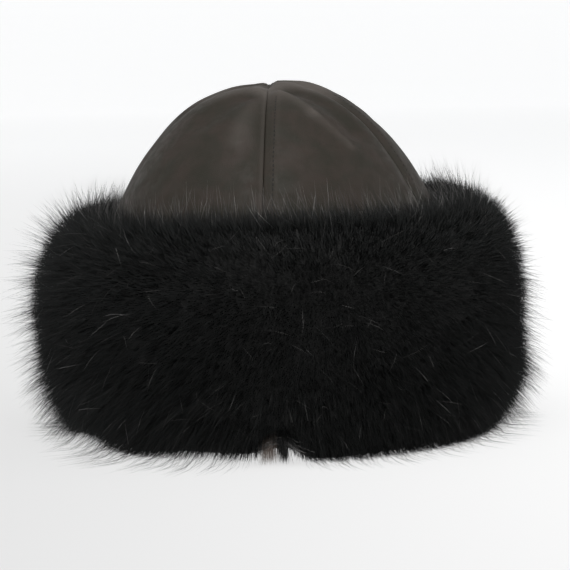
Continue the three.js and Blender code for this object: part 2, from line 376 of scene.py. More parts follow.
def wear_and_painted_light(gore, turn, down):
    """Where the leather is lighter: wear at the top and hems, painted highlight and shade at
    creases.
    """
    first, last = gores[gore]
    here = dome_place(turn, down)
    radius = from_apex(here)
    hem_edge = bell(np.radians(turn - first) * radius - hem_wear_place, edge_wear_reach)
    seam_edge = bell(np.radians(last - turn) * radius - seam_wear_place, edge_wear_reach)
    lighter_by = top_wear * bell(radius - top_wear_radius, top_wear_reach)
    lighter_by = lighter_by + hem_wear * hem_edge + seam_wear * seam_edge
    # Raised creases add a painted highlight, and dents take it away again as painted shade.
    for crease, away in crease_distances(here):
        near = bell(away, crease_light_width * crease.width * dome_rise)
        lighter_by = lighter_by + crease_light_and_shade * crease.rise * near
    return np.clip(lighter_by, 0, 1)


def crown_place(gore, turn, down):
    """A place on the outside of the leather, and the way out of it there."""
    lean = np.radians(np.clip(1 - down, 0, 1) * 90)
    x, y = on_oval(turn, np.cos(lean), np.cos(lean))
    outward = np.stack([x, y, np.sin(lean)], -1)
    return dome_place(turn, down) + outward * relief(gore, turn, down)[..., None], outward


# %% [markdown]
# ## The gores
#
# A gore is a pointed panel of leather. Here each starts as a flat fan: a straight row of points,
# spun through the gore's own turn. In that fan the distance from the middle stands for the way
# down the dome, so every point can then be lifted to its true place. The columns crowd near the
# seams, where the leather bends most, and the leather gets its thickness last.

# %% Make the five gores
gore_columns = 42
dome_rows = 50
wall_rows = 6
seam_crowding = 0.8


def lift_fan(bm, gore):
    first, last = gores[gore]
    flat = np.array([vert.co for vert in bm.verts])
    down = np.hypot(flat[:, 0], flat[:, 1])
    turned = np.degrees(np.arctan2(flat[:, 0], -flat[:, 1]))
    share = ((turned - first + 1) % 360 - 1) / (last - first)
    share = np.where(down < 1e-6, 0.5, np.clip(share, 0, 1))
    across = share - seam_crowding * np.sin(math.tau * share) / math.tau
    turns = mix(first, last, across)
    places, _ = crown_place(gore, turns, down)
    middle = np.array(on_oval((first + last) / 2, 1, 1))
    half_turn = math.radians(last - first) / 2
    places[down < 1e-6, :2] += middle * seam_gap / math.sin(half_turn)
    for turn, side, edge in ((first, 1, share < 1e-4), (last, -1, share > 1 - 1e-4)):
        x, y = on_oval(turn, crown_half_width, crown_half_length)
        inward = np.array([-y, x]) / math.hypot(x, y) * side
        places[edge & (down > 1e-6), :2] += inward * seam_gap / 2
    wear_and_light = bm.verts.layers.float.new("wear_and_painted_light")
    for vert, place, lighter_by in zip(bm.verts, places, wear_and_painted_light(gore, turns, down)):
        vert.co = place
        vert[wear_and_light] = lighter_by


def add_gore(gore):
    first, last = gores[gore]
    bm = bmesh.new()
    rows = np.concatenate([np.linspace(0, 1, dome_rows + 1), np.linspace(1, 2, wall_rows + 1)[1:]])
    x, y = on_oval(first, rows, rows)
    verts = [bm.verts.new((*place, 0)) for place in zip(x, y)]
    edges = [bm.edges.new(pair) for pair in zip(verts, verts[1:])]
    bmesh.ops.spin(
        bm,
        geom=verts + edges,
        cent=(0, 0, 0),
        axis=(0, 0, 1),
        angle=math.radians(last - first),
        steps=gore_columns,
    )
    bmesh.ops.remove_doubles(bm, verts=bm.verts[:], dist=1e-6)
    lift_fan(bm, gore)
    bm.normal_update()
    outward = sum(face.normal.dot(face.calc_center_median()) for face in bm.faces)
    if outward < 0:
        bmesh.ops.reverse_faces(bm, faces=bm.faces[:])
    piece = new_object(gore.replace("gore", "leather"), bm)
    wall = piece.modifiers.new("wall", "SOLIDIFY")
    wall.thickness = leather_wall
    wall.offset = -1
    return piece


leathers = {gore: add_gore(gore) for gore in gores}
for gore, piece in leathers.items():
    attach(piece, "root")
    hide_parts(gore)
    print(piece.name, "has", len(piece.data.polygons), "faces")

# %% [markdown]
# ## The topstitches
#
# The seam allowance is folded to one side under the leather and held by a row of stitches, a
# pencil's width from the seam. A stitch is a small bead of thread that dips into the leather at
# both ends. A round bead of few faces, stretched along the row, is enough at this size, and all
# of them are joined in one piece.

# %% Sew the topstitches
stitch_pitch = 3 * MM
stitch_length = 2.1 * MM
stitch_width = 0.8 * MM
stitch_height = 0.64 * MM
stitch_sink = 0.12 * MM
stitches_start = 0.27


def stitch_row(gore):
    """Places a stitch apart along a gore's first seam, one hem's width from it."""
    first, _ = gores[gore]
    down = np.linspace(stitches_start, 1, 400)
    radius = from_apex(dome_place(np.full_like(down, first), down))
    places, outward = crown_place(gore, first + np.degrees(hem_width / radius), down)
    run = np.concatenate([[0], np.cumsum(np.linalg.norm(np.diff(places, axis=0), axis=1))])
    at = np.arange(stitch_pitch, run[-1], stitch_pitch)

    def sample(part):
        return np.stack([np.interp(at, run, part[:, i]) for i in range(3)], -1)

    return sample(places), sample(outward)


def add_stitches():
    bm = bmesh.new()
    for gore in gores:
        places, outward = stitch_row(gore)
        along = np.gradient(places, axis=0)
        for place, out, way in zip(places, outward, along):
            way = Vector(way).normalized()
            side = way.cross(Vector(out)).normalized()
            out = side.cross(way)
            turn = Matrix((way, side, out)).transposed().to_4x4()
            size = Matrix.Diagonal((stitch_length, stitch_width, stitch_height, 1))
            middle = Matrix.Translation(Vector(place) - out * stitch_sink)
            bmesh.ops.create_uvsphere(
                bm, u_segments=8, v_segments=6, radius=0.5, matrix=middle @ turn @ size
            )
    return new_object("crown_topstitches", bm)


stitches = add_stitches()
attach(stitches, "root")
print("stitch faces:", len(stitches.data.polygons))

# %% [markdown]
# ## The form of the fur
#
# Under long fur lies a pelt with dense short wool. It gives the cuff its full, rounded form, and
# without it light would fall between the hairs. Its section is three quarter ovals: a tight crest
# beside the crown, a wide shoulder outside, and a heel that stands on the table.

# %% The section of the cuff
cuff_height = 126 * MM
cuff_depth = 49 * MM
hair_depth = 10 * MM
crown_clearance = 0.3 * MM
core_height = cuff_height - hair_depth
core_depth = cuff_depth - hair_depth
Round = namedtuple("Round", "reach drop")
crest = Round(0.16 * core_depth, 0.07 * core_height)
shoulder = Round(0.7 * core_depth, 0.42 * core_height)
heel = Round(0.5 * core_depth, 0.37 * core_height)


def quarter(out, height, size, start, end):
    angle = np.radians(np.linspace(start, end, 33))
    return np.stack([out + size.reach * np.cos(angle), height + size.drop * np.sin(angle)], -1)


section = np.concatenate([
    quarter(crest.reach, core_height - crest.drop, crest, 180, 90),
    quarter(core_depth - shoulder.reach, core_height - shoulder.drop, shoulder, 90, 0),
    quarter(core_depth - heel.reach, heel.drop, heel, 0, -90),
])
section_run = np.concatenate([[0], np.cumsum(np.linalg.norm(np.diff(section, axis=0), axis=1))])
section_share = section_run / section_run[-1]


def section_place(share):
    """How far out of the crown the core's surface is, and how high, at a share of its length."""
    return tuple(np.interp(share, section_share, section[:, i]) for i in (0, 1))


Fullness = namedtuple("Fullness", "turn share turn_reach share_reach out up")
fullness = (
    Fullness(75, 0.18, 55, 0.18, 0.11, 0.035),
    Fullness(105, 0.04, 35, 0.09, 0, 0.07),
    Fullness(52, 0.05, 22, 0.1, 0, -0.03),
    Fullness(-52, 0.05, 22, 0.1, 0, -0.035),
    Fullness(85, 0.45, 50, 0.22, 0.035, 0),
    Fullness(-90, 0.2, 50, 0.14, -0.015, 0),
    Fullness(-90, 0.88, 60, 0.22, -0.13, 0),
    Fullness(90, 0.72, 45, 0.12, 0.05, 0),
    Fullness(90, 1, 50, 0.14, -0.04, 0),
)
join_turn = 2
arch_turn = 0
least_lift = 0.5 * MM
inner_join_lift = 5 * MM
inner_join_reach = 6
heel_shares = (0.78, 0.95)
Lift = namedtuple("Lift", "turn reach height")
lifts = (Lift(arch_turn, 5, 9 * MM), Lift(-18, 15, 5.5 * MM), Lift(-64, 13, 8 * MM))


def turn_between(start, end):
    return (end - start + 180) % 360 - 180


def swelling(turn, share):
    """How far out and up the fur reaches past its even section."""
    out, up = 0, 0
    for place in fullness:
        near = bell(turn_between(place.turn, turn), place.turn_reach)
        near = near * bell(share - place.share, place.share_reach)
        out = out + near * place.out * cuff_depth
        up = up + near * place.up * cuff_height
    return out, up


def heel_clearance(turn, share):
    """How far the outer heel stands clear of the table, where only the ends of hairs reach down."""
    height = least_lift
    for lift in lifts:
        height = height + lift.height * bell(turn_between(lift.turn, turn), lift.reach)
    return height * soft_step(share, *heel_shares)


def core_frame(turn, share):
    """A place on the core, with the ways out of it, down along it and across it."""
    step = 0.01
    out, height = section_place(share)
    out_before, height_before = section_place(share - step)
    out_after, height_after = section_place(share + step)
    run, fall = out_after - out_before, height_after - height_before
    length = np.hypot(run, fall)
    run, fall = run / length, fall / length
    more_out, more_up = swelling(turn, share)
    x, y = on_oval(turn, crown_half_width + out + more_out, crown_half_length + out + more_out)
    height = height + more_up + heel_clearance(turn, share)
    away_x, away_y = on_oval(turn, crown_half_length, crown_half_width)
    size = np.hypot(away_x, away_y)
    away_x, away_y = away_x / size, away_y / size
    place = np.stack([x, y, height], -1)
    outward = np.stack([-fall * away_x, -fall * away_y, run], -1)
    downward = np.stack([run * away_x, run * away_y, fall], -1)
    across = np.stack([-away_y, away_x, np.zeros_like(away_x)], -1)
    return place, outward, downward, across


print("length of the section in mm:", round(section_run[-1] / MM))

# %% [markdown]
# ## The wool core
#
# The core is spun from its section, like a turned ring. The section is round at first and is
# drawn out to the head's oval afterwards, point by point, because a plain stretch would make the
# cuff thicker at the front than at the sides. A few slow waves keep its outline from looking
# turned on a lathe.

# %% Make the core
core_steps = 180
core_rows = 44
spin_radius = 100 * MM
wool_waves = 1.2 * MM
waves_start = (0.05, 0.2)


def unevenness(places):
    """Slow waves over the fur, between -1 and 1."""
    x, y, z = np.moveaxis(places / MM, -1, 0)
    broad = np.sin(x / 19 + 1.3 * np.sin(z / 23)) * np.sin(y / 21 + z / 27)
    narrow = np.sin(x / 7.3 + 1.7 * np.sin(y / 11)) * np.sin(y / 8.1 - z / 9.7)
    return 0.6 * broad + 0.4 * narrow


def add_core():
    bm = bmesh.new()
    shares = np.linspace(0, 1, core_rows + 1)
    out, height = section_place(shares)
    ring = list(zip(out, height, shares))
    ring += [(crown_clearance, 0, -1), (crown_clearance, height[0] / 2, -1)]
    share_of = bm.verts.layers.float.new("share")
    verts = []
    for out, height, share in ring:
        vert = bm.verts.new((spin_radius + out, 0, height))
        vert[share_of] = share
        verts.append(vert)
    edges = [bm.edges.new(pair) for pair in zip(verts, verts[1:] + verts[:1])]
    bmesh.ops.spin(
        bm,
        geom=verts + edges,
        cent=(0, 0, 0),
        axis=(0, 0, 1),
        angle=math.tau,
        steps=core_steps,
        use_merge=True,
    )
    bmesh.ops.remove_doubles(bm, verts=bm.verts[:], dist=1e-6)
    round_places = np.array([vert.co for vert in bm.verts])
    share = np.array([vert[share_of] for vert in bm.verts])
    out = np.hypot(round_places[:, 0], round_places[:, 1]) - spin_radius
    turn = np.degrees(np.arctan2(round_places[:, 0], -round_places[:, 1]))
    x, y = on_oval(turn, crown_half_width + out, crown_half_length + out)
    raised = inner_join_lift * bell(turn_between(arch_turn, turn), inner_join_reach)
    inner = np.stack([x, y, round_places[:, 2] + raised], -1)
    outer, outward, _, _ = core_frame(turn, share)
    outer += outward * (wool_waves * unevenness(outer) * soft_step(share, *waves_start))[:, None]
    outer[:, 2] = np.maximum(outer[:, 2], 0)
    places = np.where(share[:, None] < 0, inner, outer)
    least = 1 + crown_clearance / crown_half_width
    oval = np.hypot(places[:, 0] / crown_half_width, places[:, 1] / crown_half_length)
    places[:, :2] *= np.maximum(least / oval, 1)[:, None]
    for vert, place in zip(bm.verts, places):
        vert.co = place
    bmesh.ops.recalc_face_normals(bm, faces=bm.faces[:])
    return new_object("fur_core", bm)


core = add_core()
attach(core, "root")
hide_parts("fur_cuff")
print("core faces:", len(core.data.polygons))

# %% [markdown]
# ## How a hair is made
#
# Real hair is a long thin cone. Blender could grow it with its hair curves, but a mesh goes into
# any other program, so each hair here is a closed spike with three sides. Arrays hold the middle
# lines of thousands of hairs at once, and one mesh joins them. A map runs along each hair, from 0
# at the root to 1 at the tip in one direction, and gives every hair a shade of its own in the
# other.

# %% Hairs from their middle lines
strand_map = "OFBake"
hair_corners = np.radians([90, 210, 330])
shade_strip = 1 / 256


def ring_frames(lines):
    """Two level directions across each hair at each of its points."""
    way = np.gradient(lines, axis=1)
    way /= np.linalg.norm(way, axis=-1, keepdims=True)
    steep = np.abs(way[..., 2:]) > 0.9
    reference = np.where(steep, np.array([1.0, 0, 0]), np.array([0, 0, 1.0]))
    side = np.cross(way, reference)
    side /= np.linalg.norm(side, axis=-1, keepdims=True)
    return side, np.cross(side, way)


def spike_faces(rings):
    """Triangles of one spike: a foot, the sides between its rings, and a point."""
    faces = [(0, 2, 1)]
    for ring in range(rings - 1):
        for i in range(3):
            a, b = 3 * ring + i, 3 * ring + (i + 1) % 3
            faces += [(a, b, b + 3), (a, b + 3, a + 3)]
    tip = 3 * rings
    last = 3 * (rings - 1)
    faces += [(last + i, last + (i + 1) % 3, tip) for i in range(3)]
    return np.array(faces)


def add_hairs(name, lines, width, shade):
    """One mesh of spikes. Lines has a row of places for each hair, root first."""
    count, places, _ = lines.shape
    rings = places - 1
    side, up = ring_frames(lines)
    taper = np.linspace(1, 0, places)[:rings] ** 0.7
    radius = (0.5 * width[:, None] * taper)[:, :, None, None]
    turn = hair_corners[None, None, :, None]
    around = np.cos(turn) * side[:, :rings, None] + np.sin(turn) * up[:, :rings, None]
    corners = lines[:, :rings, None] + radius * around
    verts = np.concatenate([corners.reshape(count, rings * 3, 3), lines[:, -1:]], 1)
    faces = spike_faces(rings)[None] + (np.arange(count) * (rings * 3 + 1))[:, None, None]
    along = np.append(np.repeat(np.linspace(0, 1, places)[:rings], 3), 1.0)
    aside = np.append(np.tile([0, 0.5, 1], rings), 0.5) * shade_strip
    uv = np.stack(np.broadcast_arrays(shade[:, None] + aside, along), -1)
    return joined_mesh(name, verts.reshape(-1, 3), faces.reshape(-1, 3), uv.reshape(-1, 2))


def joined_mesh(name, verts, faces, uv):
    mesh = bpy.data.meshes.new(name)
    mesh.vertices.add(len(verts))
    mesh.vertices.foreach_set("co", verts.astype(np.float32).ravel())
    mesh.loops.add(faces.size)
    mesh.loops.foreach_set("vertex_index", faces.astype(np.int32).ravel())
    mesh.polygons.add(len(faces))
    mesh.polygons.foreach_set("loop_start", np.arange(0, faces.size, 3, dtype=np.int32))
    mesh.update(calc_edges=True)
    mesh.polygons.foreach_set("use_smooth", np.ones(len(faces), bool))
    layer = mesh.uv_layers.new(name=strand_map)
    layer.uv.foreach_set("vector", uv[faces.ravel()].astype(np.float32).ravel())
    mesh.validate()
    piece = bpy.data.objects.new(name, mesh)
    bpy.context.scene.collection.objects.link(piece)
    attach(piece, "root")
    print(name, "has", len(faces), "triangles")
    return piece


# %% [markdown]
# ## How the fur is combed
#
# Hair leaves the pelt squarely, then droops, and is swept one way round the cuff. Low on the
# front the ends of the pelt are sewn together, and there the hair parts to both sides. Near tips
# cling together in small pointed locks, which is what makes fur look like fur and not like a
# brush. So every hair leans towards the tip of the nearest lock.

# %% Growing and combing
join_reach = 14
droops = ((0, -0.35), (0, -0.1), (0, 0.15), (0, 0.3), (0, 0.25))
least_clearance = 0.5 * MM
table_clearance = 0.3 * MM
table_spread = 1.4
root_depth = 1.5 * MM
weight_bend = (0, 0, -0.12)
parting_reach = 4


def scatter(rng, count, low=0.0, high=0.97):
    """Even random places over the core: turns and shares of the section."""
    turns = np.linspace(0, 360, 721)
    x, y = on_oval(turns, crown_half_width + cuff_depth, crown_half_length + cuff_depth)
    run = np.concatenate([[0], np.cumsum(np.hypot(np.diff(x), np.diff(y)))])
    turn = np.interp(rng.random(count) * run[-1], run, turns)
    return turn, low + (high - low) * rng.random(count)


def sweep(turn, share):
    """Which way round the hair is combed: -1 or 1, with a soft change at the join."""
    from_join = turn_between(join_turn, turn)
    parted = bell(from_join, join_reach) * soft_step(share, 0.6, 0.85)
    return mix(-1, np.sign(from_join), parted)


def grow(rng, turn, share, length, points, aside=0.25, spread=0.16, at_heel=0.65, at_join=0.3):
    """Middle lines of hairs that leave the core, shorter low on the heel and at the join."""
    root, outward, downward, across = core_frame(turn, share)
    droop = smooth_line(droops, share)[..., 1]
    loose = rng.normal(0, spread, (3, len(turn)))
    lean = downward * (droop + loose[0])[:, None]
    lean += across * (aside * sweep(turn, share) + loose[1])[:, None]
    bend = downward * (0.5 * droop + 0.6 * loose[2])[:, None] + np.array(weight_bend)
    root = root - outward * root_depth
    s = np.linspace(0, 1, points)[None, :, None]
    way = (outward + lean)[:, None] * s + bend[:, None] * s**2
    reach = length * mix(1, at_heel, soft_step(share, 0.75, 0.95))
    parting = bell(turn_between(arch_turn, turn), parting_reach) * soft_step(share, 0.7, 0.88)
    reach = reach * mix(1, at_join, parting)
    reach = reach / np.linalg.norm(outward + lean + bend, axis=1)
    return root[:, None] + way * reach[:, None, None]


def clear_of_hat(lines):
    """Keeps hairs outside the crown and above the table, where they lie down and spread."""
    x, y, z = np.moveaxis(lines, -1, 0)
    sunk = np.maximum(table_clearance - z, 0)
    away = np.stack([x, y], -1)
    away /= np.linalg.norm(away, axis=-1, keepdims=True)
    lines = lines.copy()
    lines[..., :2] += away * table_spread * sunk[..., None]
    lines[..., 2] = z + sunk
    oval = np.hypot(lines[..., 0] / crown_half_width, lines[..., 1] / crown_half_length)
    least = 1 + least_clearance / crown_half_width
    lines[..., :2] *= np.maximum(least / oval, 1)[..., None]
    return lines


def gather(rng, lines, pull):
    """Draws each hair towards the nearest lock, more and more towards its tip."""
    tree = kdtree.KDTree(len(lock_lines))
    for i, place in enumerate(lock_lines[:, 0]):
        tree.insert(place, i)
    tree.balance()
    nearest = np.array([tree.find(place)[1] for place in lines[:, 0]])
    s = np.linspace(0, 1, lines.shape[1])[None, :, None]
    strength = pull * rng.uniform(0.6, 1.0, len(lines))[:, None, None] * s**1.3
    middle = lock_lines[nearest]
    reach = np.linalg.norm(lines[:, -1] - lines[:, 0], axis=1)
    lock_reach = np.linalg.norm(middle[:, -1] - middle[:, 0], axis=1)
    scaled = middle[:, :1] + (middle - middle[:, :1]) * (reach / lock_reach)[:, None, None]
    shares = np.linspace(0, 1, lines.shape[1])
    at = np.round(shares * (lock_lines.shape[1] - 1)).astype(int)
    return mix(lines, scaled[:, at], strength)


# %% [markdown]
# ## The dense fur
#
# Most of the hair is this dense coat. Its short hairs are many and thick, and fill the fur so
# that the pelt never shows. The long ones above them are thinner and drawn together in locks. A
# few thousand lines laid out first say which way the locks point.

# %% Lock directions
locks = 5200
lock_length = 14 * MM
rng = np.random.default_rng(41)
lock_turn, lock_share = scatter(rng, locks, 0.0, 1.0)
lock_lines = grow(rng, lock_turn, lock_share, np.full(locks, lock_length), 4, spread=0.2)
print("locks:", len(lock_lines))


# %% Lay hairs on the hat
def lay(name, lines, thinnest, thickest, pull=0):
    """Draws hairs into the locks where there is a pull, keeps them clear of the hat, adds them."""
    if pull:
        lines = gather(rng, lines, pull)
    width = rng.uniform(thinnest, thickest, len(lines)) * MM
    add_hairs(name, clear_of_hat(lines), width, rng.random(len(lines)))


# %% Short dense hairs
short_hairs = 25000
for part in ("a", "b"):
    turn, share = scatter(rng, short_hairs, high=1.0)
    length = rng.uniform(10.5, 13.5, short_hairs) * MM
    lines = grow(rng, turn, share, length, 2, spread=0.2, at_heel=0.85)
    lay(f"fur_short_hairs_{part}", lines, 0.35, 0.5, pull=0.3)

# %% Long hairs
long_hairs = 9300
for part, middle_turn in (("front", 0), ("left_side", 90), ("back", 180), ("right_side", 270)):
    turn, share = scatter(rng, long_hairs)
    turn = middle_turn + (turn - 180) / 4
    length = rng.normal(14.2, 1, long_hairs) * MM
    lines = grow(rng, turn, share, length, 3, spread=0.15)
    lay(f"fur_long_hairs_{part}", lines, 0.22, 0.34, pull=0.4)

# %% [markdown]
# ## Guard hairs
#
# Guard hairs are longer and thinner than the coat. They stand out of it and blur its outline,
# most of all on the wearer's right, where the cuff was brushed up, and least along the left
# crest. They grow like the others, with lengths that differ more, because a few very long ones
# among many shorter ones make the edge fade out.

# %% Guard hairs that stand out of the rest
guard_hairs = 9500


def brushed(turn, share):
    """How long the guard hairs are at a place. They are longest where they were brushed up."""
    right = 0.24 * bell(turn_between(-95, turn), 50) * soft_step(share, 0.05, 0.25)
    left = 0.12 * bell(turn_between(90, turn), 40) * bell(share - 0.55, 0.2)
    left_crest = 0.2 * bell(turn_between(80, turn), 45) * bell(share - 0.15, 0.2)
    return 1 + right + left - left_crest


for part, middle_turn in (("front", 0), ("back", 180)):
    turn, share = scatter(rng, guard_hairs)
    turn = middle_turn + (turn - 180) / 2
    length = (15 + 12.5 * rng.random(guard_hairs) ** 2.2) * brushed(turn, share) * MM
    lines = grow(rng, turn, share, length, 3, spread=0.17)
    lay(f"fur_guard_hairs_{part}", lines, 0.17, 0.25, pull=0.5)

# %% [markdown]
# ## The heel
#
# Low on the cuff the pelt turns in under the fur. Short hairs hang from it like a skirt and hide
# its edge, and long thin ones, longest at the front, reach the table and lie down on it. They
# could be part of the coat, but a cell of their own keeps their lengths apart.

# %% Hairs that hang round the heel
skirt_hairs = 8000
turn, share = scatter(rng, skirt_hairs, 0.8, 1.0)
length = rng.uniform(7, 15, skirt_hairs) * MM
lines = grow(rng, turn, share, length, 2, spread=0.3, at_heel=1)
lay("fur_heel_skirt", lines, 0.3, 0.4, pull=0.4)

heel_hairs = 4200
turn, share = scatter(rng, heel_hairs, 0.66, 0.92)
longer_in_front = 1 + 0.42 * bell(turn_between(-30, turn), 26)
length = rng.uniform(14, 30, heel_hairs) * longer_in_front * MM
lines = grow(rng, turn, share, length, 4, spread=0.2, at_heel=1)
lay("fur_heel_hairs", lines, 0.16, 0.26, pull=0.5)

# %% [markdown]
# ## The crest and the stray hairs
#
# Along the crest the fur stands up in front of the leather, with tips painted light as highlights.
# Over the black fur lie single pale hairs that point anywhere. They bend more than others, so
# they have more points, and no lock draws them in.

# %% Upright hairs along the crest
crest_hairs = 3000
turn, share = scatter(rng, crest_hairs, 0.02, 0.17)
length = (14 + 16 * rng.random(crest_hairs) ** 1.5) * MM
lines = grow(rng, turn, share, length, 3, aside=0.1, spread=0.2)
lay("fur_crest_hairs", lines, 0.13, 0.2, pull=0.3)

# %% Pale stray hairs
stray_hairs = 600
turn, share = scatter(rng, stray_hairs, 0.1, 0.85)
slant = rng.uniform(0, math.tau, stray_hairs)
length = rng.uniform(18, 25, stray_hairs) * MM
lines = grow(rng, turn, share, length, 5, aside=np.cos(slant), spread=0.8)
lay("fur_stray_hairs", lines, 0.16, 0.24)

# %% [markdown]
# ## The join at the front
#
# Where the ends of the pelt meet, its edge lifts off the table in a small arch. A brown-grey tuft
# and a black lock hang in the arch, and pale hairs lie along it. Each is a bunch of its own,
# since combing the whole fur towards them would take far longer to get right.

# %% The tuft and the lock at the join
bunch_hairs = 260


def add_bunch(name, middle, scatter_turn, shares, lengths, widths):
    """A bunch of straight hairs that hang side by side from the pelt's edge."""
    turn = rng.normal(middle, scatter_turn, bunch_hairs)
    share = rng.uniform(*shares, bunch_hairs)
    length = rng.uniform(*lengths, bunch_hairs) * MM
    lines = grow(rng, turn, share, length, 4, aside=0, spread=0.08, at_heel=1, at_join=1)
    lay(name, lines, *widths)


add_bunch("fur_join_tuft", join_turn - 4.2, 1, (0.88, 0.96), (13, 19), (0.2, 0.3))
add_bunch("fur_heel_lock", join_turn - 1.1, 0.6, (0.86, 0.96), (14, 19), (0.3, 0.4))

# %% Hairs that lie along the pelt's edge at the join
edge_hairs = 60
edge_share = 0.91
edge_stand = 9.5 * MM
middle = join_turn + rng.uniform(-6, 4, edge_hairs)
along = np.linspace(-2.5, 2.5, 6) * rng.uniform(0.5, 1.2, (edge_hairs, 1))
turns = middle[:, None] + along
shares = edge_share + rng.normal(0, 0.012, (edge_hairs, 1)) + rng.normal(0, 0.004, turns.shape)
places, outward, _, _ = core_frame(turns, shares)
stand = edge_stand * rng.uniform(0.7, 1.1, (edge_hairs, 1, 1))
lay("fur_join_edge", places + outward * stand, 0.14, 0.22)

# %% [markdown]
# ## Shared patterns
#
# Leather, wool and thread all vary a little from place to place, and every hair has its own
# shade. Each of those effects is a node group, built once, that the materials use with their own
# colours and sizes. A group only puts out colours and masks, and each material keeps its own
# shader.

# %% Helpers for nodes
def add_node(tree, kind, **settings):
    """A node with its own settings, such as its operation or its kind of data."""
    node = tree.nodes.new(kind)
    for name, value in settings.items():
        setattr(node, name, value)
    return node


def join(tree, source, target):
    tree.links.new(source, target)


def new_group(name, inputs, outputs):
    """An empty node group whose sockets are given as name and kind."""
    tree = bpy.data.node_groups.new(name, "ShaderNodeTree")
    for in_out, sockets in (("INPUT", inputs), ("OUTPUT", outputs)):
        for socket, kind in sockets:
            tree.interface.new_socket(name=socket, in_out=in_out, socket_type=f"NodeSocket{kind}")
    return tree, tree.nodes.new("NodeGroupInput"), tree.nodes.new("NodeGroupOutput")


def set_inputs(node, **values):
    for name, value in values.items():
        node.inputs[name.replace("_", " ")].default_value = value


def ramp(tree, source, kind="SMOOTHSTEP", **values):
    """The source's values, brought from one range to another."""
    node = add_node(tree, "ShaderNodeMapRange", interpolation_type=kind)
    set_inputs(node, **values)
    join(tree, source, node.inputs["Value"])
    return node.outputs["Result"]


def blend(tree, share, first, second, kind="MIX"):
    """A colour between two others. Each is a socket, or the values of a fixed colour."""
    node = add_node(tree, "ShaderNodeMix", data_type="RGBA", blend_type=kind)
    join(tree, share, node.inputs[0])
    for socket, colour in ((node.inputs[6], first), (node.inputs[7], second)):
        if isinstance(colour, tuple):
            socket.default_value = (*colour, 1)
        else:
            join(tree, colour, socket)
    return node.outputs[2]


def object_place(tree):
    return add_node(tree, "ShaderNodeTexCoord").outputs["Object"]


# %% Mottle: soft patches between two colours
def mottle_group():
    tree, given, result = new_group(
        "mottle",
        [("Place", "Vector"), ("Dark", "Color"), ("Light", "Color"), ("Scale", "Float")],
        [("Colour", "Color"), ("Mask", "Float")],
    )
    noise = add_node(tree, "ShaderNodeTexNoise")
    set_inputs(noise, Detail=5, Roughness=0.6, Distortion=0.4)
    join(tree, given.outputs["Place"], noise.inputs["Vector"])
    join(tree, given.outputs["Scale"], noise.inputs["Scale"])
    spread = ramp(tree, noise.outputs["Fac"], From_Min=0.32, From_Max=0.68)
    colour = blend(tree, spread, given.outputs["Dark"], given.outputs["Light"])
    join(tree, colour, result.inputs["Colour"])
    join(tree, spread, result.inputs["Mask"])
    return tree


mottle = mottle_group()
print("group:", mottle.name)

# %% Strand: from root to tip, and paler in a few hairs
def strand_group():
    tree, given, result = new_group(
        "strand",
        [
            ("Map", "Vector"),
            ("Root", "Color"),
            ("Tip", "Color"),
            ("Pale", "Color"),
            ("Rarity", "Float"),
        ],
        [("Colour", "Color")],
    )
    parts = add_node(tree, "ShaderNodeSeparateXYZ")
    join(tree, given.outputs["Map"], parts.inputs[0])
    along = ramp(tree, parts.outputs["Y"], From_Min=0.25, From_Max=0.95)
    rare = add_node(tree, "ShaderNodeMath", operation="POWER", use_clamp=True)
    join(tree, parts.outputs["X"], rare.inputs[0])
    join(tree, given.outputs["Rarity"], rare.inputs[1])
    paler = add_node(tree, "ShaderNodeMath", operation="MULTIPLY")
    join(tree, rare.outputs[0], paler.inputs[0])
    join(tree, along, paler.inputs[1])
    dark = blend(tree, along, given.outputs["Root"], given.outputs["Tip"])
    colour = blend(tree, paler.outputs[0], dark, given.outputs["Pale"])
    join(tree, colour, result.inputs["Colour"])
    return tree


strand = strand_group()
print("group:", strand.name)

# %% [markdown]
# ## Materials
#
# The leather is soft and matte: dark brown with warmer patches, a fine grain in its surface, and
# lighter from wear, with a painted highlight along raised creases and painted shade in the dents.
# The grain is a bump, because real pits of that size would need millions of faces. The thread is
# nearly black, its own dark colour darkened further as painted shade, so that it looks sunk into
# the leather.

# %% Leather
def new_material(name, **values):
    """A material and its shader, with the values that are the same all over set on the shader."""
    material = bpy.data.materials.new(name)
    material.use_nodes = True
    tree = material.node_tree
    shader = tree.nodes["Principled BSDF"]
    set_inputs(shader, **values)
    return material, tree, shader


def add_group(tree, group, **values):
    node = add_node(tree, "ShaderNodeGroup", node_tree=group)
    set_inputs(node, **values)
    return node


def leather_material():
    material, tree, shader = new_material("leather", Specular_IOR_Level=0.14)
    place = object_place(tree)
    patches = add_group(
        tree, mottle, Dark=(0.018, 0.0162, 0.0115, 1), Light=(0.0262, 0.0198, 0.0155, 1), Scale=60
    )
    wear_and_light = add_node(tree, "ShaderNodeAttribute", attribute_name="wear_and_painted_light")
    rub = add_group(tree, mottle, Scale=150)
    grain = add_node(tree, "ShaderNodeTexVoronoi", feature="DISTANCE_TO_EDGE")
    set_inputs(grain, Scale=900)
    for target in (patches.inputs["Place"], rub.inputs["Place"], grain.inputs["Vector"]):
        join(tree, place, target)
    # The lighter tone is wear, and a painted highlight along raised creases, less painted shade in
    # dents.
    tone = blend(tree, wear_and_light.outputs["Fac"], patches.outputs["Colour"], (0.067, 0.058, 0.051))
    dull = ramp(tree, rub.outputs["Mask"], kind="LINEAR", To_Min=0.52, To_Max=0.68)
    pebble = ramp(tree, grain.outputs["Distance"], From_Max=0.35)
    join(tree, tone, shader.inputs["Base Color"])
    join(tree, dull, shader.inputs["Roughness"])
    join(tree, add_bump(tree, pebble, 0.35, 0.12 * MM), shader.inputs["Normal"])
    return material


def add_bump(tree, height, strength, distance):
    bump = add_node(tree, "ShaderNodeBump")
    set_inputs(bump, Strength=strength, Distance=distance)
    join(tree, height, bump.inputs["Height"])
    return bump.outputs["Normal"]


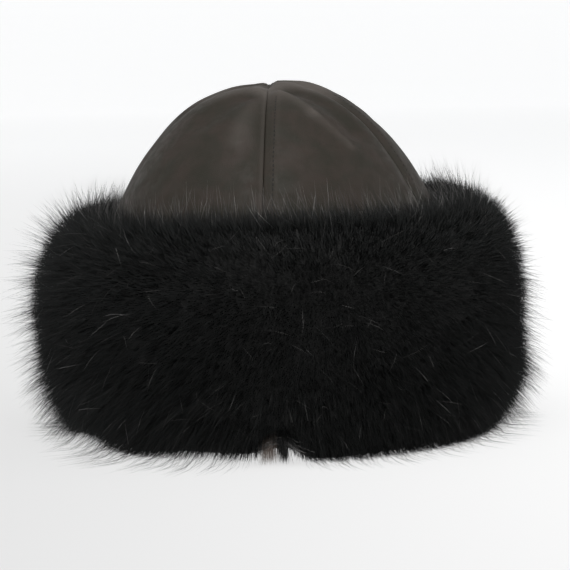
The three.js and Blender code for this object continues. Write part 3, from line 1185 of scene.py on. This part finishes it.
def thread_material():
    material, tree, shader = new_material("thread", Roughness=0.55, Specular_IOR_Level=0.2)
    # Nearly black thread: its own dark colour, darkened further as painted shade so it looks sunk.
    tone = add_group(
        tree, mottle, Dark=(0.002, 0.0018, 0.0015, 1), Light=(0.007, 0.006, 0.005, 1), Scale=400
    )
    join(tree, object_place(tree), tone.inputs["Place"])
    join(tree, tone.outputs["Colour"], shader.inputs["Base Color"])
    return material


leather = leather_material()
thread = thread_material()
for piece in leathers.values():
    piece.data.materials.append(leather)
stitches.data.materials.append(thread)
print("dressed:", leather.name, thread.name)

# %% [markdown]
# ## Wool and hair
#
# Wool is as dull as felt, so its roughness is high and a fine bump breaks up its surface. It is a
# little lighter than the hair, as painted light that lifts the shade between the hairs. A hair
# gets its colour from the map along it: a root, a tip, and a paler tone near the tips of a few
# hairs. In the black coat the roots are lighter than the tips, as painted light in the shade deep
# in the fur, and the pale tone is a painted glint. Along the crest the light tips are painted
# highlights, and in the stray hairs and the tuft the pale tone is their own colour. The long hairs
# brushed up on the wearer's right and the hairs at the heel are glossier than the rest of the
# coat. One table keeps all kinds of hair side by side, where they are easy to compare.

# %% Wool and hair
def wool_material():
    material, tree, shader = new_material("wool", Roughness=0.9, Specular_IOR_Level=0.1)
    # Dark wool, made a little lighter than the hair as painted light in the shade between hairs.
    tone = add_group(
        tree, mottle, Dark=(0.012, 0.012, 0.012, 1), Light=(0.02, 0.02, 0.0195, 1), Scale=700
    )
    join(tree, object_place(tree), tone.inputs["Place"])
    join(tree, tone.outputs["Colour"], shader.inputs["Base Color"])
    join(tree, add_bump(tree, tone.outputs["Mask"], 0.6, 0.6 * MM), shader.inputs["Normal"])
    return material


Hair = namedtuple("Hair", "name root tip pale rarity roughness specular pieces")
hairs = (
    # Black coat: roots lighter than tips are painted light between hairs, pale tone a painted
    # glint.
    Hair(
        "under_hair", (0.0135, 0.0142, 0.014), (0.0088, 0.0095, 0.0093), (0.016, 0.0155, 0.015),
        6, 0.6, 0.07, "short",
    ),
    Hair(
        "black_hair", (0.0118, 0.0126, 0.0124), (0.0095, 0.0102, 0.01), (0.028, 0.027, 0.026),
        9, 0.5, 0.09, "long_hairs_front long_hairs_left_side long_hairs_back guard",
    ),
    Hair(
        "brushed_hair", (0.0125, 0.0134, 0.0132), (0.009, 0.0098, 0.0096), (0.06, 0.058, 0.056),
        8, 0.42, 0.12, "long_hairs_right_side heel",
    ),
    # The crest's light tips and pale tone are painted highlights.
    Hair(
        "crest_hair", (0.006, 0.006, 0.006), (0.06, 0.057, 0.054), (0.5, 0.48, 0.46),
        5, 0.4, 0.25, "crest",
    ),
    Hair(
        "stray_hair", (0.03, 0.03, 0.03), (0.13, 0.125, 0.12), (0.55, 0.54, 0.53),
        3, 0.4, 0.25, "stray join_edge",
    ),
    Hair(
        "tuft_hair", (0.06, 0.05, 0.042), (0.24, 0.19, 0.16), (0.4, 0.35, 0.32),
        3, 0.45, 0.2, "join_tuft",
    ),
)


def hair_material(hair):
    material, tree, shader = new_material(
        hair.name, Roughness=hair.roughness, Specular_IOR_Level=hair.specular
    )
    given_map = add_node(tree, "ShaderNodeUVMap", uv_map=strand_map)
    tone = add_group(
        tree,
        strand,
        Root=(*hair.root, 1),
        Tip=(*hair.tip, 1),
        Pale=(*hair.pale, 1),
        Rarity=hair.rarity,
    )
    join(tree, given_map.outputs["UV"], tone.inputs["Map"])
    join(tree, tone.outputs["Colour"], shader.inputs["Base Color"])
    return material


core.data.materials.append(wool_material())
for hair in hairs:
    material = hair_material(hair)
    starts = tuple(f"fur_{kind}" for kind in hair.pieces.split())
    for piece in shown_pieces():
        if piece.name.startswith(starts):
            piece.data.materials.append(material)
            print(piece.name, "gets", material.name)

# %% [markdown]
# ## The floor's material
#
# The sweep is white board with a light table let into it, so the hat throws hardly any shadow.
# Its near part is greyer, most of all on the left, which is painted shade, and its far part is
# lit on its own by a painted glow, as behind any object that is photographed on white.

# %% Floor
def grey(value):
    return (value, value, value)


def floor_material():
    material, tree, shader = new_material(
        "sweep", Roughness=0.9, Specular_IOR_Level=0.1, Emission_Strength=1
    )
    parts = add_node(tree, "ShaderNodeSeparateXYZ")
    join(tree, object_place(tree), parts.inputs[0])
    right = ramp(tree, parts.outputs["X"], From_Min=-0.25, From_Max=0.25)
    far = ramp(tree, parts.outputs["Y"], From_Min=-0.5, From_Max=5)
    close = ramp(tree, parts.outputs["Y"], From_Min=-0.5, From_Max=0.7, To_Min=1, To_Max=0)
    # The near grey, darker on the left, is painted shade.
    near_board = blend(tree, right, grey(0.1), grey(0.12))
    near_glow = blend(tree, right, grey(0.66), grey(0.86))
    shade = blend(tree, close, near_glow, grey(0.92), kind="MULTIPLY")
    join(tree, blend(tree, far, near_board, grey(0.8)), shader.inputs["Base Color"])
    # The far part's glow is painted light.
    join(tree, blend(tree, far, shade, grey(0.49)), shader.inputs["Emission Color"])
    return material


floor.data.materials.append(floor_material())
print("dressed:", floor.name)
